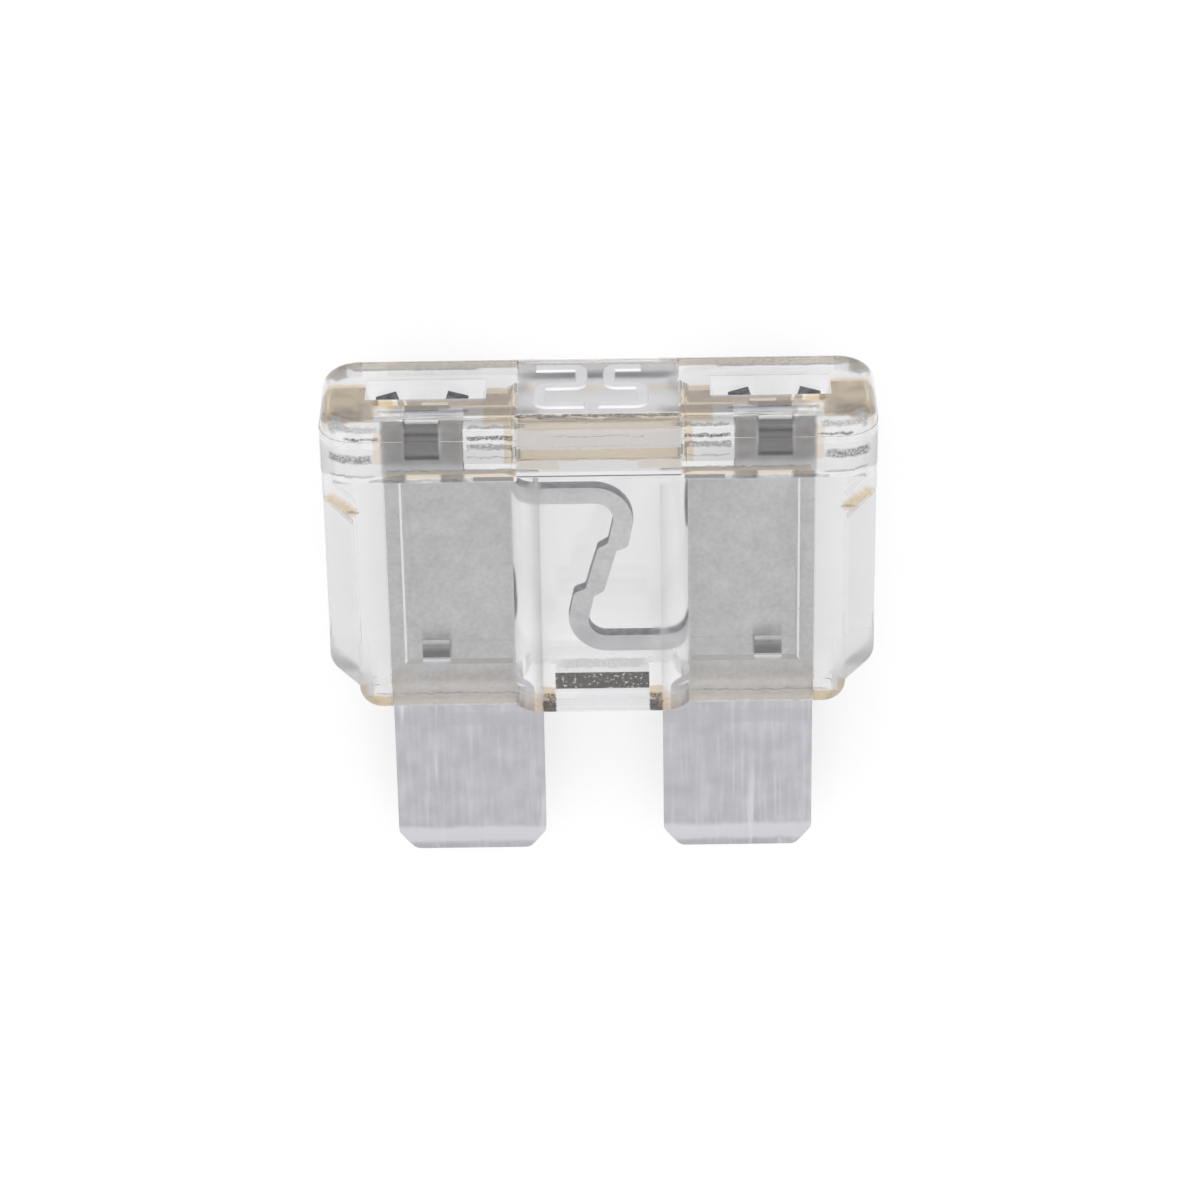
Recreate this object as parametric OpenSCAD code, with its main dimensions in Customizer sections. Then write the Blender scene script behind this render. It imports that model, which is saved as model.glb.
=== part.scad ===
// Automotive blade fuse lying on its back: X across both blades, +Y from the blade tips to the
// head, +Z up out of the front face. The housing is one clear moulding and the fuse element is
// one zinc stamping: two blades joined by an S-shaped link that hangs in the link chamber.

/* [Overall] */
// Width of the head
total_w = 19.1; // [18.6:0.1:19.6]
// Length from the blade tips to the top of the head
total_h = 18.5; // [18:0.1:19.5]
// Thickness of the head
total_t = 5.1; // [4.8:0.1:5.6]
// Length of the blades outside the housing
blade_out = 6.9; // [6.2:0.1:7.4]

/* [Head] */
// Height of the head
head_h = 2.3; // [2.1:0.1:2.6]
// Corner radius of the head seen from above
head_corner_r = 1.35; // [1:0.05:1.8]
// Fillet round the top edge of the head
head_edge_r = 0.5; // [0.3:0.05:0.7]
// Width of the sloping waist in the middle of each face of the head
waist_w = 5.6; // [5.2:0.1:6.2]
// Depth of the waist at the underside of the head
waist_d = 0.25; // [0.15:0.05:0.3]
// Depth of the waist at the top of the head
waist_top_d = 0.05; // [0.03:0.01:0.1]
// Size from front to back of the shallow field for the rating number on top of the head
pad_t = 4; // [3.6:0.1:4]
// Depth of that field
pad_d = 0.09; // [0.05:0.01:0.14]
// Distance of the parting line below the top of the head
parting_drop = 0.75; // [0.6:0.05:0.9]
// Step at the parting line
parting_step = 0.04; // [0.03:0.01:0.06]

/* [Body] */
// Width of the main block
block_w = 17; // [16.6:0.1:17.3]
// Thickness of the main block
block_t = 3.4; // [3:0.1:3.8]
// Radius of the bottom corners of the main block
block_corner_r = 0.8; // [0.5:0.1:1.2]
// Width over the two end flanges
flange_w = 19.05; // [18.4:0.05:19.05]
// Thickness of the end flanges
flange_t = 2; // [1.6:0.1:2.4]
// Radius of the outer bottom corner of the flange
flange_corner_r = 0.9; // [0.6:0.1:1]
// Height of the gusset under each end of the head
gusset_h = 2.1; // [1.8:0.1:2.4]
// Rise of the slanted lower edge of the gusset
gusset_rise = 1.15; // [0.9:0.05:1.4]
// Depth of the shallow panels in the faces of the block
panel_d = 0.15; // [0.1:0.05:0.2]
// Height of the frame below each panel
panel_sill = 1.65; // [1.4:0.05:1.9]
// Width of the frame outside each panel
panel_side = 1.6; // [1.3:0.05:1.8]
// Width of the frame between the bulge and each panel
panel_land = 0.1; // [0.05:0.05:0.3]
// Width of the sloping wall along the outer side and the foot of each panel
panel_slope = 0.15; // [0.05:0.05:0.25]
// Distance of the staking dimples from the middle line
dimple_x = 5.8; // [5.6:0.05:6]
// Width of the staking dimples
dimple_w = 0.95; // [0.7:0.05:1.2]
// Height of the staking dimples
dimple_h = 0.9; // [0.7:0.05:1.1]
// Depth of the staking dimples at their lower end
dimple_d = 0.5; // [0.3:0.05:0.6]

/* [Link chamber] */
// Width of the flat face of the bulge over the link
bulge_w = 4.2; // [3.9:0.1:4.5]
// Radius of the rounded sides of the bulge
bulge_r = 1.05; // [0.9:0.05:1.2]
// Thickness over both bulges
bulge_t = 4.5; // [4.3:0.1:4.6]
// Width of the link chamber
chamber_w = 6; // [5.6:0.1:6.2]
// Depth of the link chamber from front to back
chamber_t = 2.9; // [2.6:0.1:3]
// Plastic left between the chamber and the underside of the head
chamber_roof = 0.25; // [0.2:0.05:0.5]
// Corner radius of the chamber roof
chamber_r = 0.2; // [0.1:0.05:0.5]
// Width of the web that closes the chamber between the blades
web_w = 3.25; // [2.9:0.05:3.5]
// Height of the web
web_h = 0.7; // [0.55:0.05:0.85]
// Width over the two openings at the foot, one on each side of the web
foot_opening_w = 4.6; // [4.4:0.1:5]

/* [Test windows] */
// Distance between the two test windows
window_gap = 7.64; // [7.5:0.02:7.8]
// Width of a test window at the top of the head
window_w = 4.15; // [3.9:0.05:4.3]
// Size of a test window from front to back
window_t = 1.6; // [1.4:0.1:1.8]
// Depth of a test window
window_d = 1.05; // [0.95:0.05:1.1]
// Inward slope of each window wall over its depth
window_draft = 0.25; // [0.1:0.05:0.3]

/* [Blades] */
// Width of a blade
blade_w = 5.3; // [5.1:0.05:5.4]
// Gap between the blades
blade_gap = 4.24; // [4.1:0.02:4.3]
// Thickness of the stamping
blade_t = 0.65; // [0.6:0.05:0.75]
// Width of the cut corners at the blade tips
tip_cut_w = 0.6; // [0.4:0.05:0.8]
// Height of the cut corners at the blade tips
tip_cut_h = 0.8; // [0.6:0.05:1]
// Rounding of the cut corners
tip_round = 0.35; // [0.2:0.05:0.5]
// Length of the thinned stretch at the tips
tip_thin_h = 1.15; // [0.9:0.05:1.4]
// Thickness left at the very tip
tip_t = 0.34; // [0.25:0.01:0.4]
// Width of the test tab at the head end of each blade
tab_w = 2.75; // [2.65:0.05:2.85]
// Height of the blade's shoulder below the underside of the head
shoulder_drop = 0.25; // [0.15:0.05:0.4]
// Width of a test prong
prong_w = 0.7; // [0.6:0.05:0.8]
// Depth of the notch between the prongs
prong_h = 0.7; // [0.5:0.05:0.7]
// Distance of the prong tips below the top of the head
prong_drop = 0.25; // [0.2:0.05:0.35]
// Outward lean of each prong
prong_flare = 0.22; // [0.1:0.02:0.28]
// Fall of the slanted prong tips
prong_slope = 0.2; // [0.1:0.05:0.25]
// Width of the staking hole
stake_w = 1.25; // [1:0.05:1.4]
// Height of the staking hole
stake_h = 0.85; // [0.7:0.05:0.95]
// Distance of the staking hole below the notch
stake_drop = 0.2; // [0.15:0.05:0.3]

/* [Link] */
// Thickness of the link
link_t = 0.5; // [0.4:0.05:0.6]
// Clearance of the link below the chamber roof
link_top_gap = 1.08; // [0.9:0.02:1.2]
// Clearance of the link above the web
link_foot_gap = 0.78; // [0.6:0.02:0.9]
// Height of each arm
link_arm = 0.62; // [0.54:0.02:0.7]
// Width of the strip in the bends
link_w = 0.69; // [0.6:0.01:0.8]
// Reach of the bends from the middle line
link_reach = 1.15; // [1:0.05:1.25]
// Outer radius of the bends
link_bend_r = 1.38; // [1.2:0.02:1.4]
// Inner radius of the bends
link_inner_r = 0.65; // [0.5:0.05:0.7]
// Height of the neck between the bends
link_neck_h = 1.8; // [1.6:0.1:2]
// Sideways jog where the bends meet the neck
link_jog = 0.4; // [0.3:0.05:0.45]

/* [Fits] */
// Clearance round the fuse element
fit_gap = 0.05; // [0.03:0.01:0.08]

/* [Hidden] */
eps = 0.02;
arc_n = 96;
mid_z = total_t / 2;
y_tip = -total_h / 2;
y_top = total_h / 2;
y_foot = y_tip + blade_out;
y_head = y_top - head_h;
y_shoulder = y_head - shoulder_drop;
y_notch = y_top - prong_drop - prong_h;
y_web = y_foot + web_h;
y_roof = y_head - chamber_roof;
link_h = y_roof - link_top_gap - y_web - link_foot_gap;
link_y = y_web + link_foot_gap + link_h / 2;
blade_in_x = blade_gap / 2;
blade_out_x = blade_in_x + blade_w;
tab_in_x = blade_out_x - tab_w;
tab_x = blade_out_x - tab_w / 2;
stake_y = y_notch - stake_drop - stake_h;
window_x = (window_gap + window_w) / 2;
bulge_foot_x = bulge_w / 2 + sqrt(bulge_r ^ 2 - (bulge_r - (bulge_t - block_t) / 2) ^ 2);
panel_in_x = bulge_foot_x + panel_land;
panel_out_x = block_w / 2 - panel_side;
clear_color = [0.88, 0.88, 0.86, 0.45];
zinc_color = [0.66, 0.66, 0.69];

// Both ends of the fuse
module both_ends() {
    children();
    mirror([1, 0, 0]) children();
}

// Both faces of the fuse
module both_faces() {
    children();
    translate([0, 0, mid_z]) mirror([0, 0, 1]) translate([0, 0, -mid_z]) children();
}

// Sets a front outline to a thickness, centred on the middle plane
module plate(t) {
    translate([0, 0, mid_z - t / 2]) linear_extrude(t) children();
}

// Stands a plan section on the level y and runs it towards the head
module riser(y, h) {
    translate([0, y, mid_z]) rotate([-90, 0, 0]) linear_extrude(h) children();
}

module round_rect(w, t, r) {
    square([w - 2 * r, t], center = true);
    square([w, t - 2 * r], center = true);
    for (sx = [-1, 1], sy = [-1, 1])
        translate([sx * (w / 2 - r), sy * (t / 2 - r)]) circle(r, $fn = arc_n);
}

// Section of a slab from its corner axis outwards, with a round upper edge
module edge_section(r, h, f) {
    square([r - f, h]);
    square([r, h - f]);
    translate([r - f, h - f]) circle(f, $fn = arc_n);
}

// A slab with rounded plan corners and a fillet round its upper edge: its corners are turned,
// its sides are drawn along the straight stretches, and the middle is filled
module filleted_slab(w, t, h, r, f) {
    core_w = w - 2 * r;
    core_t = t - 2 * r;
    translate([-core_w / 2, -core_t / 2, 0]) cube([core_w, core_t, h]);
    for (turn = [0, 180]) rotate(turn) {
        translate([core_w / 2, core_t / 2, 0])
            rotate_extrude(angle = 90, $fn = arc_n) edge_section(r, h, f);
        translate([-core_w / 2, core_t / 2, 0]) rotate(90)
            rotate_extrude(angle = 90, $fn = arc_n) edge_section(r, h, f);
        translate([core_w / 2, core_t / 2, 0]) rotate([90, 0, 0])
            linear_extrude(core_t) edge_section(r, h, f);
        translate([-core_w / 2, core_t / 2, 0]) rotate([90, 0, 90])
            linear_extrude(core_w) edge_section(r, h, f);
    }
}

// Head: the upper part is a hair smaller, which leaves the parting line
module head() {
    translate([0, y_head, mid_z]) rotate([-90, 0, 0]) {
        linear_extrude(head_h - parting_drop) round_rect(total_w, total_t, head_corner_r);
        filleted_slab(total_w - 2 * parting_step, total_t - 2 * parting_step, head_h,
            head_corner_r - parting_step, head_edge_r);
    }
}

// Sloping waist in each face of the head, deepest at the underside
module waist_cut() {
    both_faces()
        translate([-waist_w / 2, 0, 0]) rotate([90, 0, 90])
            linear_extrude(waist_w)
                polygon([
                    [y_head - eps, total_t - waist_d], [y_top + eps, total_t - waist_top_d],
                    [y_top + eps, total_t + eps], [y_head - eps, total_t + eps]
                ]);
}

// Shallow field for the rating number, as wide as the waist
module pad_cut() {
    translate([-waist_w / 2, y_top - pad_d, mid_z - pad_t / 2]) cube([waist_w, pad_d + eps, pad_t]);
}

// Main block with round bottom corners
module block() {
    plate(block_t) {
        translate([-block_w / 2, y_foot + block_corner_r])
            square([block_w, y_head - y_foot - block_corner_r + eps]);
        translate([block_corner_r - block_w / 2, y_foot])
            square([block_w - 2 * block_corner_r, block_corner_r + eps]);
        both_ends()
            translate([block_w / 2 - block_corner_r, y_foot + block_corner_r])
                circle(block_corner_r, $fn = arc_n);
    }
}

// End flange: its outer bottom corner is round and then runs in at 45 degrees, past the round
// corner of the block
module flange() {
    side = (flange_w - block_w) / 2;
    bend = flange_corner_r;
    toe_x = block_w / 2 - block_corner_r / 2;
    bend_x = flange_w / 2 - bend;
    bend_y = y_foot + side + block_corner_r / 2 + bend * (sqrt(2) - 1);
    plate(flange_t)
        both_ends() {
            translate([bend_x, bend_y]) circle(bend, $fn = arc_n);
            polygon([
                [0, y_foot], [toe_x, y_foot],
                [bend_x + bend / sqrt(2), bend_y - bend / sqrt(2)],
                [bend_x, bend_y], [flange_w / 2, bend_y],
                [flange_w / 2, y_head + eps], [0, y_head + eps]
            ]);
        }
}

// Gusset that thickens the flange under the end of the head, with the same round corners
module gusset() {
    intersection() {
        plate(block_t)
            both_ends()
                polygon([
                    [block_w / 2 - eps, y_head + eps], [total_w / 2, y_head + eps],
                    [total_w / 2, y_head - gusset_h + gusset_rise],
                    [block_w / 2 - eps, y_head - gusset_h]
                ]);
        riser(y_head - gusset_h - eps, gusset_h + 2 * eps)
            round_rect(flange_w, total_t, head_corner_r);
    }
}

// Bulge over the link: its rounded sides sink into both faces of the block
module bulge() {
    riser(y_foot, y_head - y_foot + eps)
        round_rect(bulge_w + 2 * bulge_r, bulge_t, bulge_r);
}

// Shallow panels in both faces of the block, beside the bulge. They run up to the head, and their
// walls on the outer side and at the foot slope.
module panel_cut() {
    top = [panel_out_x - panel_in_x, y_head - y_foot - panel_sill];
    narrow = [top.x - panel_slope, top.y - panel_slope];
    both_faces() both_ends()
        translate([panel_in_x, y_head, mid_z + block_t / 2 + eps]) rotate([180, 0, 0])
            linear_extrude(panel_d + eps, scale = [narrow.x / top.x, narrow.y / top.y])
                square(top);
}

// Ramped dimples where the housing is staked over the blades
module dimple_cut() {
    face = mid_z + block_t / 2;
    foot = y_foot + panel_sill;
    both_faces() both_ends()
        translate([dimple_x - dimple_w / 2, 0, 0]) rotate([90, 0, 90])
            linear_extrude(dimple_w)
                polygon([
                    [foot, face - dimple_d], [foot, face + eps],
                    [foot + dimple_h, face + eps], [foot + dimple_h, face - panel_d - eps]
                ]);
}

// Slot for one blade and its tab, a named clearance larger all round
module blade_slot() {
    plate(blade_t + 2 * fit_gap) {
        translate([blade_in_x - fit_gap, y_foot - eps])
            square([blade_w + 2 * fit_gap, y_shoulder - y_foot + fit_gap + eps]);
        translate([tab_in_x - fit_gap, y_shoulder])
            square([tab_w + 2 * fit_gap, y_top - window_d - y_shoulder + eps]);
    }
}

// Lug that stays in the slot and fills the staking hole
module stake_lug() {
    translate([tab_x - stake_w / 2 + fit_gap, stake_y + fit_gap, mid_z - blade_t / 2 - fit_gap - eps])
        cube([stake_w - 2 * fit_gap, stake_h - 2 * fit_gap, blade_t + 2 * (fit_gap + eps)]);
}

// Test window, a pocket whose four walls slope in
module window_cut() {
    top = [window_w, window_t];
    narrow = [window_w - 2 * window_draft, window_t - 2 * window_draft];
    translate([window_x, y_top, mid_z]) rotate([90, 0, 0])
        linear_extrude(window_d, scale = [narrow.x / top.x, narrow.y / top.y])
            square(top, center = true);
    translate([window_x - window_w / 2, y_top - eps, mid_z - window_t / 2])
        cube([window_w, 2 * eps, window_t]);
}

// Link chamber, open at the foot beside the web
module chamber_cut() {
    plate(chamber_t) {
        translate([-chamber_w / 2, y_web]) square([chamber_w, y_roof - chamber_r - y_web]);
        translate([chamber_r - chamber_w / 2, y_roof - chamber_r - eps])
            square([chamber_w - 2 * chamber_r, chamber_r + eps]);
        both_ends() {
            translate([chamber_w / 2 - chamber_r, y_roof - chamber_r])
                circle(chamber_r, $fn = arc_n);
            translate([web_w / 2, y_foot - eps])
                square([(foot_opening_w - web_w) / 2, web_h + 2 * eps]);
        }
    }
}

module housing() {
    color(clear_color)
        difference() {
            union() {
                head();
                block();
                flange();
                gusset();
                bulge();
            }
            waist_cut();
            pad_cut();
            panel_cut();
            dimple_cut();
            chamber_cut();
            both_ends() {
                difference() {
                    blade_slot();
                    stake_lug();
                }
                window_cut();
            }
        }
}

// One point of an arc about the centre c
function on_arc(c, r, a) = c + r * [cos(a), sin(a)];

// Quarter turn about the centre c, from straight up to straight right
function quarter(c, r) = [for (i = [0:12]) on_arc(c, r, 90 * (1 - i / 12))];

// Points of the arc of radius r that rounds the corner b between its neighbours a and c
function round_corner(a, b, c, r) =
    let (
        u = (a - b) / norm(a - b), v = (c - b) / norm(c - b),
        half = acos(u * v) / 2,
        centre = b + (u + v) / norm(u + v) * r / sin(half),
        from = b + u * r / tan(half) - centre,
        to = b + v * r / tan(half) - centre,
        start = atan2(from.y, from.x),
        turn = atan2(from.x * to.y - from.y * to.x, from * to)
    ) [for (i = [0:6]) on_arc(centre, r, start + turn * i / 6)];

// Cut corner of a blade tip on the side s, -1 towards the middle or 1 outwards
function tip_corner(x, s) =
    let (
        foot = [x - s * tip_cut_w, y_tip],
        side = [x, y_tip + tip_cut_h]
    ) concat(
        round_corner(foot - s * [1, 0], foot, side, tip_round),
        round_corner(foot, side, side + [0, 1], tip_round)
    );

// Outline of one blade: cut corners at the tip, a tab with two leaning prongs at the head end
module blade_outline() {
    y_prong = y_top - prong_drop;
    tip_out_x = blade_out_x + prong_flare;
    tip_in_x = tab_in_x - prong_flare;
    inner = tip_corner(blade_in_x, -1);
    difference() {
        polygon(concat(
            tip_corner(blade_out_x, 1),
            [
                [blade_out_x, y_notch], [tip_out_x, y_prong - prong_slope],
                [tip_out_x - prong_w, y_prong], [blade_out_x - prong_w, y_notch],
                [tab_in_x + prong_w, y_notch], [tip_in_x + prong_w, y_prong],
                [tip_in_x, y_prong - prong_slope], [tab_in_x, y_notch],
                [tab_in_x, y_shoulder], [blade_in_x, y_shoulder]
            ],
            [for (i = [len(inner) - 1:-1:0]) inner[i]]
        ));
        translate([tab_x - stake_w / 2, stake_y]) square([stake_w, stake_h]);
    }
}

// Side profile of the blades, thinned towards the tips in two steps
module blade_profile() {
    full = blade_t / 2;
    thin = tip_t / 2;
    front = [
        [y_tip, thin], [y_tip + 0.35 * tip_thin_h, thin + 0.7 * (full - thin)],
        [y_tip + tip_thin_h, full], [y_top, full]
    ];
    translate([-total_w / 2, 0, mid_z]) rotate([90, 0, 90])
        linear_extrude(total_w)
            polygon(concat(front, [for (i = [3:-1:0]) [front[i].x, -front[i].y]]));
}

// Outline of the link: half an S, then the same half turned round the middle
module link_outline() {
    top = link_h / 2;
    root = blade_in_x + link_w / 2;
    outer_r = min(link_bend_r, top - link_w);
    inner_r = min(link_inner_r, outer_r - link_w / 2);
    bend = [link_reach - outer_r, top - outer_r];
    inner_x = link_reach - link_w;
    inner = [inner_x - inner_r, top - link_arm - inner_r];
    jog_y = link_neck_h / 2;
    outer_a = [link_reach - link_jog / 2, jog_y];
    outer_b = [link_reach - 1.5 * link_jog, jog_y - 0.4 * link_jog];
    inner_a = [inner_x - link_jog / 2, jog_y + 0.4 * link_jog];
    inner_b = [inner_x - 1.4 * link_jog, jog_y - 0.15 * link_jog];
    outer_edge = concat(
        [[-root, top]],
        quarter(bend, outer_r),
        round_corner([link_reach, bend.y], outer_a, outer_b, link_jog / 2),
        round_corner(outer_a, outer_b, -inner_b, link_jog / 4)
    );
    inner_edge = concat(
        [[-root, top - link_arm]],
        quarter(inner, inner_r),
        round_corner([inner_x, inner.y], inner_a, inner_b, link_jog / 3),
        round_corner(inner_a, inner_b, -outer_b, link_jog / 3)
    );
    back_edge = [for (i = [len(inner_edge) - 1:-1:0]) inner_edge[i]];
    polygon(concat(
        outer_edge, [for (p = back_edge) -p],
        [for (p = outer_edge) -p], back_edge
    ));
}

module fuse_element() {
    color(zinc_color) {
        intersection() {
            plate(blade_t) both_ends() blade_outline();
            blade_profile();
        }
        plate(link_t) translate([0, link_y]) link_outline();
    }
}

housing();
fuse_element();
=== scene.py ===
import math

import bmesh
import bpy
import numpy as np
from mathutils import Matrix


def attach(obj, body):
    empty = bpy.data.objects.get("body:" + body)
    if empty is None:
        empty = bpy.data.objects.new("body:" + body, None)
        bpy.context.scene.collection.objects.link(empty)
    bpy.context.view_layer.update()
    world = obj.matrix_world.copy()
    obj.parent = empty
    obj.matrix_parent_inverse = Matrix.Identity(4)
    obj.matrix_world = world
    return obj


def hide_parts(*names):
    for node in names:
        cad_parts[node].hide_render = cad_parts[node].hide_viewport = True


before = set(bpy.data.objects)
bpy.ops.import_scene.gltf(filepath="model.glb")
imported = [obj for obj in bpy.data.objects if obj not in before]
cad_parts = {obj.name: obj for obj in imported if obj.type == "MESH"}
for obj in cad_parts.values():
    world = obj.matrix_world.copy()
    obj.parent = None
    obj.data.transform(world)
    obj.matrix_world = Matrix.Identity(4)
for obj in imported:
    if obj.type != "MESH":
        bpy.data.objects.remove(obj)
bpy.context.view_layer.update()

# A clear plug-in fuse lying on its back. X runs across both blades, +Y from the blade tips to the
# head, +Z up out of the front face. Values are metres, apart from those named in mm.
mm = 0.001
midZ = 2.55 * mm  # middle plane of the fuse
joinDistance = 0.0005 * mm
flatAngle = math.radians(0.2)  # CAD faces closer to flat than this become one
print("frame loaded:", ", ".join(sorted(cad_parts)))


# a CAD node's loose triangles joined at their corners, with each flat region made one face
def mergedCopy(nodeName, pieceName):
    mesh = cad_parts[nodeName].data.copy()
    mesh.name = pieceName
    work = bmesh.new()
    work.from_mesh(mesh)
    bmesh.ops.remove_doubles(work, verts=work.verts, dist=joinDistance)
    bmesh.ops.dissolve_limit(work, angle_limit=flatAngle, verts=work.verts, edges=work.edges)
    work.to_mesh(mesh)
    work.free()
    for name in ("custom_normal", "sharp_edge", "sharp_face"):  # the importer's shading
        if name in mesh.attributes:
            mesh.attributes.remove(mesh.attributes[name])
    mesh.materials.clear()
    piece = bpy.data.objects.new(pieceName, mesh)
    bpy.context.scene.collection.objects.link(piece)
    return piece


# bakes a piece's modifiers into its mesh
def applyModifiers(piece):
    graph = bpy.context.evaluated_depsgraph_get()
    mesh = bpy.data.meshes.new_from_object(piece.evaluated_get(graph))
    piece.modifiers.clear()
    piece.data = mesh


# smooth shading with every edge sharper than the angle kept crisp, and flat faces left flat
def shadeFlatAndRound(piece, degrees):
    piece.data.shade_smooth()
    piece.data.set_sharp_from_angle(angle=math.radians(degrees))
    weighted = piece.modifiers.new("flat faces stay flat", "WEIGHTED_NORMAL")
    weighted.keep_sharp = True
    weighted.weight = 100


# writes one number for each face, which the piece's material reads by name
def paintFaces(mesh, name, numbers):
    layer = mesh.attributes.new(name, "FLOAT", "FACE")
    layer.data.foreach_set("value", np.asarray(numbers, dtype=np.float32))


def link(tree, fromSocket, toSocket):
    tree.links.new(fromSocket, toSocket)


def addNode(tree, kind, x, y, **settings):
    node = tree.nodes.new(kind)
    node.location = (x, y)
    for name, value in settings.items():
        setattr(node, name, value)
    return node


def addMath(tree, operation, x, y, first, second):
    node = addNode(tree, "ShaderNodeMath", x, y, operation=operation)
    for socket, value in zip(node.inputs, (first, second)):
        if isinstance(value, (int, float)):
            socket.default_value = value
        else:
            link(tree, value, socket)
    return node.outputs[0]


# blends two colours; each may be a plain colour or another node's output
def addBlend(tree, x, y, factor, first, second):
    node = addNode(tree, "ShaderNodeMix", x, y, data_type="RGBA")
    link(tree, factor, node.inputs["Factor"])
    for name, value in (("A", first), ("B", second)):
        if isinstance(value, tuple):
            node.inputs[name].default_value = value
        else:
            link(tree, value, node.inputs[name])
    return node.outputs["Result"]


# noise stretched between two levels and given as a value over the reach
def addNoise(tree, x, y, vector, scale, detail, levels, reach=(0.0, 1.0)):
    noise = addNode(tree, "ShaderNodeTexNoise", x, y)
    noise.inputs["Scale"].default_value = scale
    noise.inputs["Detail"].default_value = detail
    spread = addNode(tree, "ShaderNodeMapRange", x + 200, y)
    for name, value in zip(("From Min", "From Max", "To Min", "To Max"), (*levels, *reach)):
        spread.inputs[name].default_value = value
    link(tree, vector, noise.inputs["Vector"])
    link(tree, noise.outputs["Fac"], spread.inputs["Value"])
    return spread.outputs["Result"]


def newGroup(name, inputs, outputs):
    group = bpy.data.node_groups.new(name, "ShaderNodeTree")
    for title, kind, value in inputs:
        socket = group.interface.new_socket(title, in_out="INPUT", socket_type="NodeSocket" + kind)
        if value is not None:
            socket.default_value = value
    for title, kind in outputs:
        group.interface.new_socket(title, in_out="OUTPUT", socket_type="NodeSocket" + kind)
    entry = addNode(group, "NodeGroupInput", -900, 0)
    return group, entry, addNode(group, "NodeGroupOutput", 900, 0)


# a shared group with its numbers set, fed with the place on the part
def addGroup(tree, x, y, group, coords, **numbers):
    node = addNode(tree, "ShaderNodeGroup", x, y, node_tree=group)
    for name, value in numbers.items():
        node.inputs[name].default_value = value
    link(tree, coords.outputs["Object"], node.inputs["Vector"])
    return node.outputs[0]


hairScratches = {"turns": (0.5, -0.9), "stretch": 0.06, "detail": 3.0, "peaks": (0.62, 0.72)}


# short hair scratches in two directions: noise stretched one way, kept only at its peaks
def makeFineScuffs():
    group, entry, out = newGroup(
        "fine scuffs",
        [("Vector", "Vector", None), ("Scale", "Float", 900.0), ("Amount", "Float", 0.5)],
        [("Mask", "Float")])
    masks = []
    for row, turn in enumerate(hairScratches["turns"]):
        turned = addNode(group, "ShaderNodeMapping", -700, -300 * row)
        turned.inputs["Rotation"].default_value = (0, 0, turn)
        turned.inputs["Scale"].default_value = (1.0, hairScratches["stretch"], 1.0)
        noise = addNode(group, "ShaderNodeTexNoise", -500, -300 * row)
        noise.inputs["Detail"].default_value = hairScratches["detail"]
        peaks = addNode(group, "ShaderNodeMapRange", -300, -300 * row)
        for name, value in zip(("From Min", "From Max"), hairScratches["peaks"]):
            peaks.inputs[name].default_value = value
        link(group, entry.outputs["Vector"], turned.inputs["Vector"])
        link(group, turned.outputs["Vector"], noise.inputs["Vector"])
        link(group, entry.outputs["Scale"], noise.inputs["Scale"])
        link(group, noise.outputs["Fac"], peaks.inputs["Value"])
        masks.append(peaks.outputs["Result"])
    both = addMath(group, "MAXIMUM", 0, 0, masks[0], masks[1])
    scaled = addMath(group, "MULTIPLY", 300, 0, both, entry.outputs["Amount"])
    link(group, scaled, out.inputs["Mask"])
    return group


raggedDetail = 3.0


# the place on the part in mm with both ends folded together, pushed about a little by noise
def makeFoldedPlace():
    group, entry, out = newGroup(
        "folded place",
        [("Vector", "Vector", None), ("Ragged", "Float", 0.0), ("Grain", "Float", 2.0)],
        [("Place", "Vector")])
    large = addNode(group, "ShaderNodeVectorMath", -700, 0, operation="SCALE")
    large.inputs["Scale"].default_value = 1 / mm
    noise = addNode(group, "ShaderNodeTexNoise", -500, -200)
    noise.inputs["Detail"].default_value = raggedDetail
    centred = addNode(group, "ShaderNodeVectorMath", -300, -200, operation="SUBTRACT")
    centred.inputs[1].default_value = (0.5, 0.5, 0.5)
    push = addNode(group, "ShaderNodeVectorMath", -100, -200, operation="SCALE")
    moved = addNode(group, "ShaderNodeVectorMath", 100, 0, operation="ADD")
    parts = addNode(group, "ShaderNodeSeparateXYZ", 300, 0)
    folded = addNode(group, "ShaderNodeCombineXYZ", 700, 0)
    link(group, entry.outputs["Vector"], large.inputs[0])
    link(group, large.outputs[0], noise.inputs["Vector"])
    link(group, entry.outputs["Grain"], noise.inputs["Scale"])
    link(group, noise.outputs["Color"], centred.inputs[0])
    link(group, centred.outputs[0], push.inputs[0])
    link(group, entry.outputs["Ragged"], push.inputs["Scale"])
    link(group, large.outputs[0], moved.inputs[0])
    link(group, push.outputs[0], moved.inputs[1])
    link(group, moved.outputs[0], parts.inputs[0])
    side = addMath(group, "ABSOLUTE", 500, 100, parts.outputs["X"], 0.0)
    link(group, side, folded.inputs["X"])
    link(group, parts.outputs["Y"], folded.inputs["Y"])
    link(group, parts.outputs["Z"], folded.inputs["Z"])
    link(group, folded.outputs[0], out.inputs["Place"])
    return group


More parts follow.
